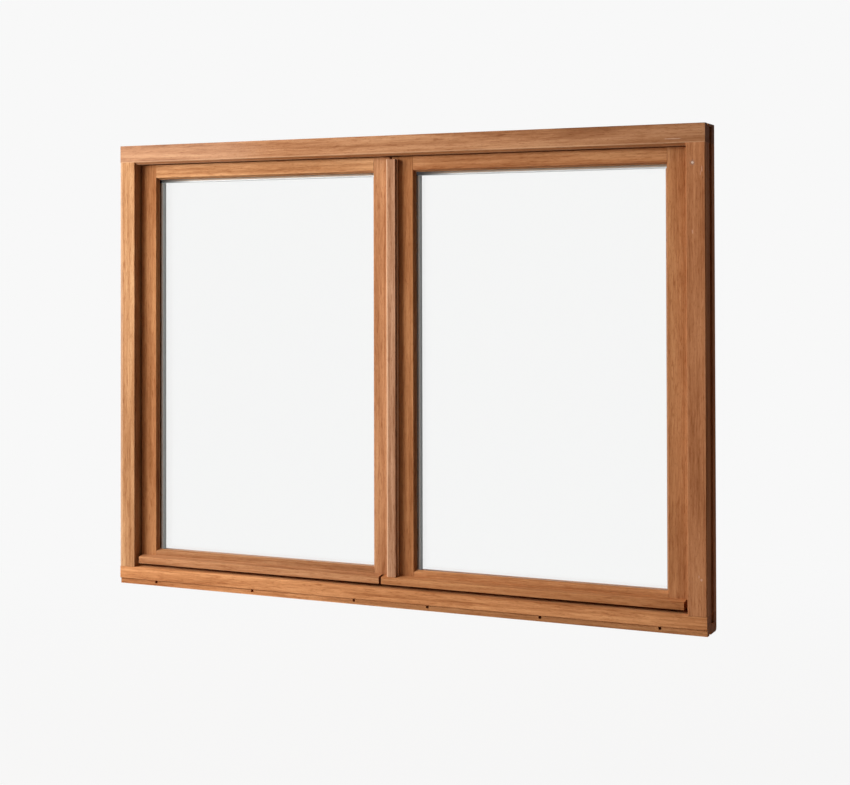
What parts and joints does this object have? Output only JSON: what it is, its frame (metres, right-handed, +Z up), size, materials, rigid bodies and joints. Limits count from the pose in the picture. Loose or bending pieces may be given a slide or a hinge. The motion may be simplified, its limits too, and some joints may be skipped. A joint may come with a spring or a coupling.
{
  "type": "double casement window",
  "caption": "Oiled hardwood casement window: square frame with sloped sill, side-hung double-glazed leaves, drip rails and an astragal over the meeting line.",
  "frame": {"origin": "middle of the sill's underside, half way through the frame's depth", "axes": "+X along the window to the right seen from outside, -Y to the outside, +Z up"},
  "size_m": [1.48, 0.076, 1.08],
  "materials": {
    "frame_wood": "oiled, satin",
    "leaf_wood": "oiled, satin",
    "astragal_wood": "oiled, satin",
    "window_glass": "clear float",
    "seal_rubber": "matt",
    "spacer_metal": "satin"
  },
  "bodies": {
    "root": {"astragal": "astragal_wood", "frame_head": "frame_wood", "frame_left_jamb": "frame_wood", "frame_right_jamb": "frame_wood", "frame_seal": "seal_rubber", "frame_sill": "frame_wood", "left_bottom_bead": "leaf_wood", "left_bottom_rail": "leaf_wood", "left_drip_rail": "leaf_wood", "left_gasket": "seal_rubber", "left_hinge_bead": "leaf_wood", "left_hinge_stile": "leaf_wood", "left_inner_pane": "window_glass", "left_meeting_bead": "leaf_wood", "left_meeting_stile": "leaf_wood", "left_outer_pane": "window_glass", "left_spacer": "spacer_metal", "left_top_bead": "leaf_wood", "left_top_rail": "leaf_wood", "meeting_seal": "seal_rubber", "right_bottom_bead": "leaf_wood", "right_bottom_rail": "leaf_wood", "right_drip_rail": "leaf_wood", "right_gasket": "seal_rubber", "right_hinge_bead": "leaf_wood", "right_hinge_stile": "leaf_wood", "right_inner_pane": "window_glass", "right_meeting_bead": "leaf_wood", "right_meeting_stile": "leaf_wood", "right_outer_pane": "window_glass", "right_spacer": "spacer_metal", "right_top_bead": "leaf_wood", "right_top_rail": "leaf_wood"}
  },
  "joints": []
}
